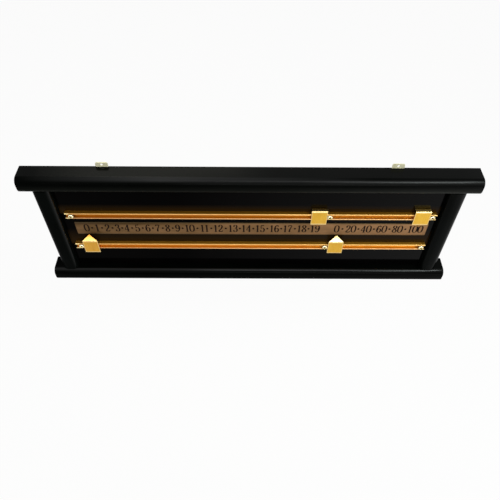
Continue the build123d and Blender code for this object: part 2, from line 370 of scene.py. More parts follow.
def pointer(body, tip_up):
    """A pointer folded from sheet: flange, face and tip make one rounded path in YZ. At each point
    of the path the sheet is a rectangle across X, whose half width falls evenly from the fold to
    the tip's blunt end, and whose thickness lies along the path's normal. A mark on its points,
    where the finish paints a pale highlight, is 1 along the sheet's edges and its folds, and falls
    to 0 over the width of that highlight."""
    node = body + "_pointer"
    low, high = span(node)
    x, wide = (low[0] + high[0]) / 2, (high[0] - low[0]) / 2
    up = 1 if tip_up else -1
    fold = high[2] - TIP_HEIGHT if tip_up else low[2] + TIP_HEIGHT
    flange = low[2] if tip_up else high[2]
    centre = (fold + flange) / 2
    half = abs(fold - flange) / 2
    front = low[1]
    tip_back = span("number_strip")[0][1] - TIP_ROOM
    tip_depth = tip_back - span(body + "_slider")[0][1]
    tip = (front + tip_depth, half + TIP_HEIGHT)
    corners = [(high[1], -half), (front, -half), (front, half), tip]
    edge = half - FOLD_RADIUS - EDGE_SHEEN_WIDTH
    bends = rounded(corners, [0, FOLD_RADIUS, FOLD_RADIUS, 0], FOLD_STEPS).reshape(4, FOLD_STEPS, 2)
    flat = [(front, -edge), (front, edge)]
    path = np.concatenate([bends[0][:1], bends[1], flat, bends[2], bends[3][:1]])
    folded = np.array([0] + [1] * FOLD_STEPS + [0, 0] + [1] * FOLD_STEPS + [0])
    run = np.gradient(path, axis=0)
    run /= np.linalg.norm(run, axis=1, keepdims=True)
    inward = np.column_stack([run[:, 1], -run[:, 0]])
    tip_run = np.array([tip_depth, TIP_HEIGHT])
    along = ((path - corners[2]) @ tip_run) / (tip_run @ tip_run)
    half_width = wide + (TIP_END - wide) * np.clip(along, 0, 1)
    inner_width = np.maximum(half_width - EDGE_SHEEN_WIDTH, half_width / 2)
    across = [(-1, half_width), (-1, inner_width), (1, inner_width), (1, half_width)]
    rings, wear_and_sheen = [], []
    for lift, row in ((0, across), (SHEET, across[::-1])):
        yz = path + inward * lift
        for side, reach in row:
            rings.append(np.column_stack([x + side * reach, yz[:, 0], centre + up * yz[:, 1]]))
            wear_and_sheen.append(folded if reach is inner_width else np.ones(len(path)))
    shells = [skin(np.array(rings).transpose(1, 0, 2))]
    marks = {"wear_and_sheen": np.array(wear_and_sheen, float).transpose(1, 0).ravel()}
    name = node + "_plate"
    add_piece(name, body, BRUSHED_BRASS, [node], shells, POINTER_EASE, marks)


def disc(radius, r, sides):
    """A round face as a polar grid, with one ring for each r, a share of the radius: r, x and z of
    its points."""
    a = np.linspace(0, 2 * math.pi, sides, endpoint=False)
    r, a = np.meshgrid(r, a, indexing="ij")
    return r, radius * r * np.cos(a), radius * r * np.sin(a)


def cross_recess(x, z, turn, reach, width, depth):
    """Depth of a cross recess at this turn: the deeper of two crossed slots. Each rises evenly
    from its side over RECESS_WALL and from its end over RECESS_END."""
    c, s = math.cos(turn), math.sin(turn)
    x, z = c * x + s * z, c * z - s * x

    def slot(across, along):
        """How deep one slot is, from 0 to 1."""
        side = np.clip((width / 2 - np.abs(across)) / RECESS_WALL + 0.5, 0, 1)
        end = np.clip((reach - np.abs(along)) / RECESS_END, 0, 1)
        return side * end

    return depth * np.maximum(slot(x, z), slot(z, x))


def screw_head(x, seat, z, turn):
    """A turned head: at a share r of its radius it rises to (1 - r^HEAD_CURVE)^0.5 of its height,
    over an upright rim, and the cross recess is taken away. The head faces -Y, and its rings stand
    closer together towards the rim."""
    r, px, pz = disc(HEAD_RADIUS, np.linspace(0, 1, HEAD_RINGS) ** 0.8, HEAD_SIDES)
    dome = HEAD_HEIGHT * (HEAD_RIM + (1 - HEAD_RIM) * np.sqrt(1 - r**HEAD_CURVE))
    rise = dome - cross_recess(px, pz, turn, *HEAD_RECESS)
    rings = np.stack([x + px, seat - rise, z + pz], -1)
    base = rings[-1:].copy()
    base[:, :, 1] = seat
    return skin(np.concatenate([rings, base]))


def turned(x, z, profile, sides):
    """The rings of a turned shape about an axis along Y, one for each (radius, y)."""
    a = np.linspace(0, 2 * math.pi, sides, endpoint=False)
    r, y = np.array(profile).T[:, :, None]
    return np.stack([x + r * np.cos(a), np.repeat(y, sides, 1), z + r * np.sin(a)], -1)


def track_screws(name, node, track_node, turns):
    """The three round-head screws of a track, each turned home at its own angle."""
    low, high = span(node)
    z = (low[2] + high[2]) / 2
    seat = span(track_node)[0][1]
    tip = high[1]
    middle_x = span("lower_twenties_pointer")[0][0] - STOP_CLEARANCE - HEAD_RADIUS
    shank = [(SHANK_RADIUS, seat), (SHANK_RADIUS, tip - POINT_LENGTH), (POINT_RADIUS, tip)]
    shells = []
    for x, turn in zip((low[0] + HEAD_RADIUS, middle_x, high[0] - HEAD_RADIUS), turns):
        shells.append(screw_head(x, seat, z, turn))
        shells.append(skin(turned(x, z, shank, SHANK_SIDES)))
    add_piece(name, "board", TURNED_HEADS, [node], shells)


def plate_screws(name, node, turns):
    """Countersunk screws: a flat disc with a cross recess over a cone and a shank."""
    low, high = span(node)
    x = (low[0] + high[0]) / 2
    shank = [
        (PLATE_SHANK_RADIUS, -PLATE_HEAD_DEPTH),
        (PLATE_SHANK_RADIUS, -PLATE_SHANK_LENGTH),
        (POINT_RADIUS, low[1]),
    ]
    px, pz = disc(PLATE_HEAD_RADIUS, np.linspace(0, 1, PLATE_HEAD_RINGS), PLATE_HEAD_SIDES)[1:]
    shells = []
    for z, turn in zip((high[2] - PLATE_HEAD_RADIUS, low[2] + PLATE_HEAD_RADIUS), turns):
        rings = np.stack([x + px, -cross_recess(px, pz, turn, *PLATE_RECESS), z + pz], -1)
        shells.append(skin(np.concatenate([rings, turned(x, z, shank, PLATE_HEAD_SIDES)])))
    add_piece(name, "board", TURNED_BRASS, [node], shells)


# Numerals, as pen strokes: each is a centre line in a box one numeral high, with its pen's widths

def centre_line(points, closed, steps=10):
    """A Catmull-Rom curve through the points: between p1 and p2 it is
    (2 p1 + (p2 - p0) t + (2 p0 - 5 p1 + 4 p2 - p3) t^2 + (3 p1 - p0 - 3 p2 + p3) t^3) / 2."""
    p = np.asarray(points, float)
    p = np.vstack([p[-1:], p, p[:2]]) if closed else np.vstack([p[:1], p, p[-1:]])
    p0, p1, p2, p3 = (p[i : len(p) - 3 + i, None] for i in range(4))
    t = np.linspace(0, 1, steps, endpoint=False)[None, :, None]
    curve = 2 * p1 + (p2 - p0) * t + (2 * p0 - 5 * p1 + 4 * p2 - p3) * t**2
    curve = (curve + (3 * p1 - p0 - 3 * p2 + p3) * t**3) / 2
    curve = curve.reshape(-1, 2)
    return curve if closed else np.vstack([curve, p[-1:]])


def stroke(points, closed=False, pen=1.0, ends=(1.0, 1.0)):
    """A pen stroke as two edges (points, 2, 2) about its centre line. The pen's width goes from
    THIN_STROKE to THICK_STROKE with the square of how upright the line runs, times pen, and ends
    scales it evenly from the start of the stroke to its end."""
    line = centre_line(points, closed)
    if closed:
        run = np.roll(line, -1, axis=0) - np.roll(line, 1, axis=0)
    else:
        run = np.gradient(line, axis=0)
    run /= np.linalg.norm(run, axis=1, keepdims=True)
    width = THIN_STROKE + (THICK_STROKE - THIN_STROKE) * run[:, 1] ** 2
    width = width * pen * np.linspace(ends[0], ends[1], len(line))
    across = np.column_stack([-run[:, 1], run[:, 0]]) * width[:, None] / 2
    edges = np.stack([line + across, line - across], 1)
    return np.concatenate([edges, edges[:1]]) if closed else edges


def blob(x, y, radius):
    """A round ball on the end of a stroke, as upright chords of a circle from left to right. It
    stops just short of both sides, where a chord has no length."""
    a = np.linspace(0.02, math.pi - 0.02, 13)
    reach = np.column_stack([-np.cos(a), np.sin(a)]) * radius
    return np.stack([(x, y) + reach, (x, y) + reach * (1, -1)], 1)


def bar(x0, x1, y, width=THIN_STROKE * 1.1):
    """A level bar or serif from x0 to x1."""
    top, bottom = y + width / 2, y - width / 2
    return np.array([[(x0, top), (x0, bottom)], [(x1, top), (x1, bottom)]])


BALL = 0.075  # radius of the round end of a stroke, in the glyph's coordinates
SERIF_Z = 0.022  # middle of a serif on the base line
SIX = [
    stroke([(0.4, 0.86), (0.31, 0.965), (0.17, 0.87), (0.07, 0.6), (0.07, 0.28), (0.16, 0.07),
            (0.26, 0.025), (0.38, 0.1), (0.43, 0.3), (0.38, 0.5), (0.26, 0.57), (0.14, 0.5),
            (0.08, 0.38)]),
    blob(0.385, 0.86, BALL),
]
# Each digit's width and its strokes
GLYPHS = {
    "0": (0.5, [
        stroke([(0.25, 0.975), (0.06, 0.78), (0.06, 0.22), (0.25, 0.025), (0.44, 0.22),
                (0.44, 0.78)], closed=True),
    ]),
    "1": (0.4, [
        stroke([(0.2, 0.97), (0.2, 0.5), (0.2, 0.03)]),
        stroke([(0.2, 0.95), (0.06, 0.82)], pen=0.8),
        bar(0.06, 0.34, SERIF_Z),
    ]),
    "2": (0.5, [
        stroke([(0.09, 0.76), (0.13, 0.92), (0.25, 0.975), (0.38, 0.9), (0.41, 0.72),
                (0.31, 0.48), (0.15, 0.25), (0.06, 0.08)]),
        blob(0.1, 0.76, BALL),
        stroke([(0.05, 0.05), (0.25, 0.05), (0.42, 0.05)], pen=2.1),
        stroke([(0.41, 0.04), (0.45, 0.2)], pen=0.6),
    ]),
    "3": (0.5, [
        stroke([(0.09, 0.8), (0.14, 0.93), (0.25, 0.975), (0.37, 0.9), (0.38, 0.72),
                (0.31, 0.58), (0.18, 0.53)]),
        stroke([(0.18, 0.53), (0.34, 0.49), (0.42, 0.3), (0.37, 0.1), (0.23, 0.025),
                (0.11, 0.07), (0.06, 0.2)]),
        blob(0.1, 0.8, BALL),
        blob(0.08, 0.2, BALL),
    ]),
    "4": (0.5, [
        stroke([(0.33, 0.97), (0.33, 0.5), (0.33, 0.03)]),
        stroke([(0.33, 0.95), (0.03, 0.3)], pen=0.55),
        bar(0.02, 0.47, 0.28, THIN_STROKE * 1.3),
        bar(0.21, 0.45, SERIF_Z),
    ]),
    "5": (0.5, [
        stroke([(0.1, 0.93), (0.25, 0.92), (0.4, 0.95)], pen=2.0),
        stroke([(0.11, 0.95), (0.09, 0.52)], pen=0.5),
        stroke([(0.09, 0.52), (0.2, 0.6), (0.33, 0.57), (0.42, 0.4), (0.42, 0.2), (0.33, 0.06),
                (0.2, 0.025), (0.1, 0.08), (0.06, 0.2)]),
        blob(0.08, 0.2, BALL),
    ]),
    "6": (0.5, SIX),
    "7": (0.5, [
        stroke([(0.05, 0.92), (0.25, 0.93), (0.43, 0.93)], pen=2.0),
        stroke([(0.06, 0.94), (0.04, 0.78)], pen=0.6),
        stroke([(0.43, 0.93), (0.3, 0.6), (0.21, 0.32), (0.19, 0.02)], ends=(0.5, 1.2)),
    ]),
    "8": (0.5, [
        stroke([(0.25, 0.975), (0.12, 0.9), (0.1, 0.74), (0.22, 0.57), (0.36, 0.42),
                (0.43, 0.24), (0.37, 0.08), (0.25, 0.025), (0.12, 0.09), (0.07, 0.25),
                (0.15, 0.44), (0.29, 0.57), (0.39, 0.72), (0.37, 0.9)], closed=True),
    ]),
    "9": (0.5, [(0.5, 1.0) - edges for edges in SIX]),
}
# Centres of the numerals along the strip: the units, and then the twenties
UNITS_X = [-296, -277, -258.5, -240, -223, -204, -185, -167, -149, -131,
           -109, -82, -57, -30, -6, 19.2, 45, 69.5, 95, 119]
TWENTIES_X = {0: 158.5, 20: 184, 40: 212, 60: 240.3, 80: 269, 100: 302}
DOT_RADIUS = 2.1  # upright; across, it is narrowed as the numerals are
DIGIT_GAP = 0.06  # in the glyph's coordinates, between the digits of one number


def raised(edges, x, z, front, lift):
    """A flat shell over a stroke's two edges: its top stands lift in front of the strip, and its
    sides go down into it."""
    count = len(edges)
    xz = edges.reshape(-1, 2) * (NUMERAL_EM, NUMERAL_HEIGHT) + (x, z)
    top = np.column_stack([xz[:, 0], np.full(len(xz), front - lift), xz[:, 1]]).reshape(count, 2, 3)
    foot = top.copy()
    foot[:, :, 1] = front + INK_ROOT
    return skin(np.stack([top[:, 0], top[:, 1], foot[:, 1], foot[:, 0]], 1))


def numerals():
    """The numbers of the units and twenties scales with a round dot between neighbours."""
    low, high = span("number_strip")
    front = low[1]
    base = (low[2] + high[2] - NUMERAL_HEIGHT) / 2 + NUMERAL_LIFT
    shells, left_edges, right_edges = [], [], []
    for value, centre in list(enumerate(UNITS_X)) + list(TWENTIES_X.items()):
        digits = str(value)
        widths = [GLYPHS[d][0] for d in digits]
        total = (sum(widths) + DIGIT_GAP * (len(digits) - 1) - 2 * SIDE_ROOM) * NUMERAL_EM
        x = centre - total / 2 - SIDE_ROOM * NUMERAL_EM
        left_edges.append(centre - total / 2)
        right_edges.append(centre + total / 2)
        for d, w in zip(digits, widths):
            for n, edges in enumerate(GLYPHS[d][1]):
                shells.append(raised(edges, x, base, front, INK_RAISE + n * INK_STEP))
            x += (w + DIGIT_GAP) * NUMERAL_EM
    dot = blob(0, 0.5, DOT_RADIUS / NUMERAL_HEIGHT)
    for n, (before, after) in enumerate(zip(right_edges, left_edges[1:]), 1):
        if n != len(UNITS_X):  # no dot where the twenties start
            shells.append(raised(dot, (before + after) / 2, base, front, INK_RAISE))
    return shells


# Materials

def srgb(code):
    """Linear colour of an sRGB hex value."""
    channels = np.array([int(code[i : i + 2], 16) for i in (1, 3, 5)]) / 255
    linear = np.where(channels <= 0.04045, channels / 12.92, ((channels + 0.055) / 1.055) ** 2.4)
    return (*linear.tolist(), 1.0)


def add(tree, kind, inputs=None, **settings):
    """Adds a node with its settings; each input is a value, or the socket that it comes from."""
    node = tree.nodes.new(kind)
    for name, value in settings.items():
        setattr(node, name, value)
    for socket, value in (inputs or {}).items():
        if isinstance(value, bpy.types.NodeSocket):
            tree.links.new(value, node.inputs[socket])
        else:
            node.inputs[socket].default_value = value
    return node


def emptied(owner):
    """The node tree of a material or world, emptied."""
    owner.use_nodes = True
    owner.node_tree.nodes.clear()
    return owner.node_tree


def new_material(name):
    """An empty material, its tree and its Object coordinates."""
    finish = bpy.data.materials.new(name)
    tree = emptied(finish)
    return finish, tree, add(tree, "ShaderNodeTexCoord").outputs["Object"]


def noise(tree, coords, stretch_mm, detail=3.0):
    """Noise whose features are about stretch_mm long in X, Y and Z."""
    scale = [1 / (MM * size) for size in stretch_mm]
    place = add(tree, "ShaderNodeMapping", {"Vector": coords, "Scale": scale}).outputs["Vector"]
    inputs = {"Vector": place, "Scale": 1.0, "Detail": detail, "Roughness": 0.55}
    return add(tree, "ShaderNodeTexNoise", inputs).outputs["Fac"]


def ranged(tree, value, low, high):
    """The value's usual range from 0.3 to 0.7 stretched from low to high."""
    inputs = {"Value": value, "From Min": 0.3, "From Max": 0.7, "To Min": low, "To Max": high}
    return add(tree, "ShaderNodeMapRange", inputs).outputs["Result"]


def cloudy(tree, coords, stretch_mm, detail=3.0):
    """The same noise, from 0 to 1."""
    return ranged(tree, noise(tree, coords, stretch_mm, detail), 0, 1)


def blended(tree, factor, first, second):
    """A colour between two, each an sRGB value or the socket that it comes from."""
    first, second = (srgb(tone) if isinstance(tone, str) else tone for tone in (first, second))
    return add(tree, "ShaderNodeMix", {0: factor, 6: first, 7: second}, data_type="RGBA").outputs[2]


def between(tree, coords, axis, start_mm, end_mm):
    """A factor that goes from 0 to 1 while the place on this axis goes from start to end."""
    place = add(tree, "ShaderNodeSeparateXYZ", {"Vector": coords}).outputs[axis]
    inputs = {"Value": place, "From Min": start_mm * MM, "From Max": end_mm * MM}
    return add(tree, "ShaderNodeMapRange", inputs).outputs["Result"]


def mixed(tree, factor, first, second):
    """A number between two, each a value or the socket that it comes from."""
    return add(tree, "ShaderNodeMix", {0: factor, 2: first, 3: second}).outputs[0]


def where_all(tree, factor, *others):
    """A factor of 1 where all of these are: their product."""
    for other in others:
        factor = add(tree, "ShaderNodeMath", {0: factor, 1: other}, operation="MULTIPLY").outputs[0]
    return factor


def where_any(tree, factor, *others):
    """A factor of 1 where any of these is: the largest of them."""
    for other in others:
        factor = add(tree, "ShaderNodeMath", {0: factor, 1: other}, operation="MAXIMUM").outputs[0]
    return factor


def band(tree, coords, axis, start, full, fading, end):
    """A factor that goes from 0 at start to 1 at full, and from 1 at fading back to 0 at end."""
    rise = between(tree, coords, axis, start, full)
    return where_all(tree, rise, between(tree, coords, axis, end, fading))


def both_ends(tree, coords, axis, low, high, start, full):
    """A factor that goes from 0 to 1 between start and full mm inside each end of a span."""
    low_end = between(tree, coords, axis, low + start, low + full)
    return where_any(tree, low_end, between(tree, coords, axis, high - start, high - full))


def along_board(tree, coords, cloud, share):
    """A factor that goes from 0 at the board's left end to 1 at its right end, with this share of
    the clouds mixed in."""
    return mixed(tree, share, between(tree, coords, "X", -330, 330), cloud)


def bump(tree, height, depth_mm):
    """A bump as deep as depth_mm where the height goes from 0 to 1."""
    inputs = {"Height": height, "Distance": depth_mm * MM, "Strength": 1.0}
    return add(tree, "ShaderNodeBump", inputs).outputs["Normal"]


def shade(tree, inputs):
    """Ends the tree in a Principled shader."""
    shader = add(tree, "ShaderNodeBsdfPrincipled", inputs)
    add(tree, "ShaderNodeOutputMaterial", {"Surface": shader.outputs["BSDF"]})


def mark_of(tree, name):
    """The mark of this name on the piece's points."""
    return add(tree, "ShaderNodeAttribute", attribute_name=name).outputs["Fac"]


# The wood's pores and the lines on the metal are really 0.05 to 0.2 mm wide. They are drawn 0.3 mm
# wide and more, as coarse as they need to be to show.
GRAIN_X, GRAIN_Z = (25, 0.5, 0.5), (0.5, 0.5, 25)
LACQUER_CLOUD = (90, 90, 90)
RAIL_BLACK, POST_BLACK = ("#020302", "#040504"), ("#040504", "#070908")
COAT_RUN = (-200, 360)  # along X, where the lacquer's shine changes
PLAIN_COAT = (0.002, 0.05)  # of unworn lacquer, at the left and at the right of that
TRACK_REFLECTION_REACH = {"upper_track": 16, "lower_track": 34}  # how far the panel's painted reflection of a track reaches above it
FROM_UPPER_TO_LOWER = (-120, -160)  # down Z, between the two tracks


def black_tone(tree, coords, tones):
    """A black that clouds slowly between two tones."""
    return blended(tree, cloudy(tree, coords, LACQUER_CLOUD, 2.0), *tones)


def coat_along(tree, coords, left, right):
    """The weight of a coat that goes from one value to another along the board."""
    return mixed(tree, between(tree, coords, "X", *COAT_RUN), left, right)


def lacquered(tree, coords, grain, colour, coat, coat_roughness):
    """Ends the tree in the shader of sprayed lacquer over the wood's pores."""
    cloud = noise(tree, coords, LACQUER_CLOUD, 2.0)
    pores = noise(tree, coords, grain, 4.0)
    shade(tree, {
        "Base Color": colour,
        "Roughness": ranged(tree, cloud, 0.24, 0.32),
        "Specular IOR Level": 0.005,
        "Coat Weight": coat,
        "Coat Roughness": coat_roughness,
        "Normal": bump(tree, pores, 0.012),
    })


def satin_lacquer(name, grain, tones, polish):
    """Sprayed black lacquer rubbed to a satin on hardwood: near black, broad soft highlights, and
    the wood's pores just showing as fine lines along the grain. Hands have polished it along one
    rounded edge of each bar, which takes a brighter, thinner highlight; polish is how much, at the
    left and at the right of the board."""
    finish, tree, coords = new_material(name)
    wear_and_sheen = coat_along(tree, coords, *polish)
    coat = mixed(tree, mark_of(tree, "wear_and_sheen"), coat_along(tree, coords, *PLAIN_COAT), wear_and_sheen)
    lacquered(tree, coords, grain, black_tone(tree, coords, tones), coat, 0.16)
    return finish


def cap_lacquer():
    """The same black lacquer on the cap, where hands and dusters reach it most: its top is buffed,
    more towards the right, and its rounded edge shines broadly at the left and as a thin line from
    the middle to the right. On its lower edge a grey sheen is painted into its colour, most at the
    right: a painted reflection of the light from below."""
    finish, tree, coords = new_material("satin_black_lacquer_cap")
    coat = coat_along(tree, coords, *PLAIN_COAT)
    top = mixed(tree, between(tree, coords, "X", -60, 90), 0.064, 0.112)
    coat = mixed(tree, mark_of(tree, "top"), coat, top)
    crown = where_all(tree, mark_of(tree, "crown"), band(tree, coords, "X", -380, -160, -130, 200))
    coat = mixed(tree, crown, coat, 0.62)
    edge = mixed(tree, between(tree, coords, "X", 80, 160), 0.17, 0.28)
    edge = mixed(tree, between(tree, coords, "X", -140, -60), coat, edge)
    coat = mixed(tree, mark_of(tree, "edge"), coat, edge)
    # Painted reflection: a grey sheen on the lower rounded edge, lighter towards the right.
    chin_sheen = blended(tree, between(tree, coords, "X", 40, 300), "#1d1e1b", "#363734")
    colour = blended(tree, mark_of(tree, "chin"), black_tone(tree, coords, RAIL_BLACK), chin_sheen)
    lacquered(tree, coords, GRAIN_X, colour, coat, 0.28)
    return finish


def polished_lacquer():
    """Black lacquer rubbed down and polished on a flat panel: a dark mirror with a faint ripple,
    shinier towards the right. Over each track a duller brown glow is painted into its colour, a
    painted reflection of the brass track, which reaches further over the lower one."""
    finish, tree, coords = new_material("polished_black_lacquer")
    cloud = noise(tree, coords, (120, 120, 120), 2.0)
    ripple = noise(tree, coords, (14, 14, 14), 1.0)
    lacquer = blended(tree, cloud, "#010101", "#050404")
    shine = between(tree, coords, "X", -120, 330)
    # Painted reflection of each brass track: a brown band on the panel's front, around and above
    # the track's top.
    track_reflections = []
    for node, reach in TRACK_REFLECTION_REACH.items():
        top = span(node)[1][2]
        track_reflections.append(band(tree, coords, "Z", top - 9, top - 5, top, top + reach))
    front = span("back_panel")[0][1]
    in_front = between(tree, coords, "Y", front + 0.5, front + 0.1)
    painted_reflection = where_all(tree, where_any(tree, *track_reflections), in_front)
    coat = mixed(tree, shine, 0.006, 0.14)
    shade(tree, {
        "Base Color": blended(tree, painted_reflection, lacquer, blended(tree, shine, "#281b0a", "#281a08")),
        "Roughness": ranged(tree, cloud, 0.09, 0.14),
        "Specular IOR Level": 0.006,
        "Coat Weight": mixed(tree, painted_reflection, coat, mixed(tree, shine, 0.006, 0.06)),
        "Coat Roughness": 0.1,
        "Normal": bump(tree, ripple, 0.01),
    })
    return finish


def bronze_strip():
    """Bronzed brass strip under matt lacquer: brown metal, brushed along its length, with a slow
    cloudy tarnish. Its colour is painted darker towards the left and lighter towards the right, as
    painted light falling from the right, and painted darkest along its top at the left, a painted
    shadow of the upper track. Its two long edges are a greyer brown, where the lacquer has dulled."""
    finish, tree, coords = new_material("bronzed_brass_brushed")
    cloud = cloudy(tree, coords, (35, 35, 14))
    lines = noise(tree, coords, (60, 0.5, 0.5))
    # Painted light: the face is lighter towards the right, with the cloudy tarnish mixed in.
    face = blended(tree, along_board(tree, coords, cloud, 0.35), "#543e1e", "#9a7450")
    low, high = span("number_strip")
    edge = both_ends(tree, coords, "Z", low[2], high[2], 3, 0.5)
    top = between(tree, coords, "Z", high[2] - 10, high[2] - 3)
    # Painted shadow of the upper track along the strip's top, at the left.
    track_shadow = where_all(tree, top, between(tree, coords, "X", -60, -200))
    face = blended(tree, track_shadow, face, "#443017")
    shade(tree, {
        "Base Color": blended(tree, edge, face, "#483c28"),
        "Metallic": 1.0,
        "Roughness": ranged(tree, lines, 0.36, 0.5),
        "Normal": bump(tree, lines, 0.01),
    })
    return finish


def brass(name, dark, light, roughness, lines_mm, depth, metallic=1.0):
    """Brass: its colour clouds slowly between two tones, and fine lines from its making break up
    the highlight."""
    finish, tree, coords = new_material(name)
    cloud = cloudy(tree, coords, (22, 22, 22), 2.0)
    lines = noise(tree, coords, lines_mm)
    shade(tree, {
        "Base Color": blended(tree, cloud, dark, light),
        "Metallic": metallic,
        "Roughness": ranged(tree, lines, *roughness),
        "Normal": bump(tree, lines, depth),
    })
    return finish


def brushed_brass():
    """Lacquered brass sheet, brushed up and down: a deep yellow with fine upright streaks, painted
    lighter towards the right of the board, where more light falls. A pale highlight is painted
    along its edges and folds. The lower pointers' tips have a painted highlight: a deeper orange at
    the left of the board and pale and bright towards the right."""
    finish, tree, coords = new_material("brushed_brass")
    cloud = cloudy(tree, coords, (22, 22, 22), 2.0)
    streaks = cloudy(tree, coords, (1.6, 1.6, 30))
    lines = noise(tree, coords, (0.35, 20, 20))
    # Painted light: the faces are lighter towards the right of the board, with random clouds mixed
    # in.
    tone = along_board(tree, coords, cloud, 0.3)
    plain = blended(tree, tone, "#c48a14", "#e2b026")
    streaked = blended(tree, tone, "#d09624", "#e8ba3c")
    face = blended(tree, streaks, plain, streaked)
    fold = span("lower_units_pointer")[1][2] - TIP_HEIGHT
    tip = band(tree, coords, "Z", fold - 0.5, fold + 1, fold + 14, fold + 16)
    run = between(tree, coords, "X", -250, 100)
    tip_coat = mixed(tree, run, 0.12, 0.75)
    # Painted highlight on the lower pointers' tips, brighter towards the right.
    face = blended(tree, tip, face, blended(tree, run, "#c87a12", "#ecc050"))
    # Painted highlight along the sheet's edges and folds, paler towards the right.
    edges = blended(tree, tip, "#f2d490", blended(tree, run, "#eebc68", "#f6deb0"))
    shade(tree, {
        "Base Color": blended(tree, mark_of(tree, "wear_and_sheen"), face, edges),
        "Metallic": 1.0,
        "Roughness": ranged(tree, lines, 0.26, 0.38),
        "Coat Weight": mixed(tree, tip, 0.4, tip_coat),
        "Coat Roughness": 0.12,
        "Normal": bump(tree, lines, 0.006),
    })
    return finish


def lower_lips(tree, coords):
    """A factor of 1 from the middle of each track down, and 0 from there up."""
    names = ("upper_track", "number_strip", "lower_track")
    upper, strip, lower = ((span(name)[0][2] + span(name)[1][2]) / 2 for name in names)
    under_upper = band(tree, coords, "Z", strip - 1, strip + 1, upper - 0.5, upper + 0.5)
    return where_any(tree, under_upper, between(tree, coords, "Z", lower + 0.5, lower - 0.5))


def drawn_brass():
    """Brass drawn to a channel: a soft shine broken by fine lines along its length, and browner
    inside, deeper in the upper track. Its colour is painted lighter towards the right of the board,
    as painted light. The filed lips have stayed pale at their ends, and the lower ones are paler on
    their length too. The upper track's upper lip is paler right of the middle, and duller towards
    its end."""
    finish, tree, coords = new_material("drawn_brass")
    cloud = cloudy(tree, coords, (40, 22, 22), 2.0)
    lines = noise(tree, coords, (80, 0.3, 0.3))
    low, high = span("upper_track")
    # Painted light: lighter towards the right of the board, with random clouds mixed in.
    place = along_board(tree, coords, cloud, 0.2)
    in_lower = between(tree, coords, "Z", *FROM_UPPER_TO_LOWER)
    in_upper = between(tree, coords, "Z", *reversed(FROM_UPPER_TO_LOWER))
    upper_inner = blended(tree, place, "#c88a26", "#c48c26")
    inner = blended(tree, in_lower, upper_inner, blended(tree, place, "#dc9a30", "#e4aa38"))
    inside = between(tree, coords, "Y", low[1] + 0.3, low[1] + TRACK_WALL)
    paler_stretch = where_all(tree, band(tree, coords, "X", 20, 80, 100, 160), in_upper)
    outer = blended(tree, paler_stretch, blended(tree, place, "#c89654", "#dcae66"), "#f0bc70")
    # The lower lips: paler, and painted lighter towards the right.
    low_lip = blended(tree, between(tree, coords, "X", -220, 90), "#d6a268", "#fecc8a")
    outer = blended(tree, lower_lips(tree, coords), outer, low_lip)
    upper_edge = between(tree, coords, "Z", high[2] - 4, high[2] - 3)
    dull = where_all(tree, between(tree, coords, "X", 170, 230), upper_edge)
    outer = blended(tree, dull, outer, "#d0a05c")
    end = both_ends(tree, coords, "X", low[0], high[0], 9, 5)
    pale = blended(tree, between(tree, coords, "X", -100, 100), "#f4dc9c", "#d8b272")
    shade(tree, {
        "Base Color": blended(tree, inside, blended(tree, end, outer, pale), inner),
        "Metallic": 0.9,
        "Roughness": mixed(tree, inside, ranged(tree, lines, 0.33, 0.36), 0.42),
        "Normal": bump(tree, lines, 0.001),
    })
    return finish


def turned_heads():
    """Turned and polished brass screw heads: bright domes, with painted shade down in the
    recess and round the rim, where the head sinks close to its seat."""
    finish, tree, coords = new_material("turned_brass_heads")
    lines = noise(tree, coords, (0.8, 0.8, 0.8))
    seat = span("upper_track")[0][1]
    # Painted shade: dark wherever the head stands less than about 1 mm above its seat.
    recess_shade = between(tree, coords, "Y", seat - 1.4, seat - 0.9)
    shade(tree, {
        "Base Color": blended(tree, recess_shade, "#f8ecbe", "#4a3010"),
        "Metallic": 1.0,
        "Roughness": ranged(tree, lines, 0.14, 0.22),
        "Normal": bump(tree, lines, 0.002),
    })
    return finish


def number_enamel():
    """Fired dark brown enamel filled into the numerals: smooth, a little shine."""
    finish, tree, coords = new_material("dark_brown_enamel")
    speck = noise(tree, coords, (1.5, 1.5, 1.5), 2.0)
    shade(tree, {
        "Base Color": blended(tree, speck, "#0d0603", "#180b05"),
        "Roughness": ranged(tree, speck, 0.35, 0.5),
        "Specular IOR Level": 0.03,
    })
    return finish


def beech():
    """Bare turned beech: pale, with short darker flecks along the dowel."""
    finish, tree, coords = new_material("bare_beech")
    flecks = noise(tree, coords, (0.6, 0.6, 6))
    shade(tree, {
        "Base Color": blended(tree, ranged(tree, flecks, 0, 1), "#c39a6a", "#d8b98e"),
        "Roughness": 0.6,
        "Normal": bump(tree, flecks, 0.03),
    })
    return finish


LACQUER_CAP = cap_lacquer()
LACQUER_X = satin_lacquer("satin_black_lacquer_rail", GRAIN_X, RAIL_BLACK, (0.36, 0.3))
LACQUER_Z = satin_lacquer("satin_black_lacquer_post", GRAIN_Z, POST_BLACK, (0.38, 0.22))
POLISHED = polished_lacquer()
BRONZE = bronze_strip()
ENAMEL = number_enamel()
DRAWN_BRASS = drawn_brass()
BRUSHED_BRASS = brushed_brass()
TURNED_HEADS = turned_heads()
TURNED_BRASS = brass("turned_brass", "#e9d79c", "#f3e6b8", (0.12, 0.2), (0.8, 0.8, 0.8), 0.002)
PALE_BRASS = brass(
    "stamped_pale_brass", "#e2dcb6", "#eee9c8", (0.45, 0.55), (6, 6, 6), 0.01, metallic=0.3
)
BEECH = beech()

# The board

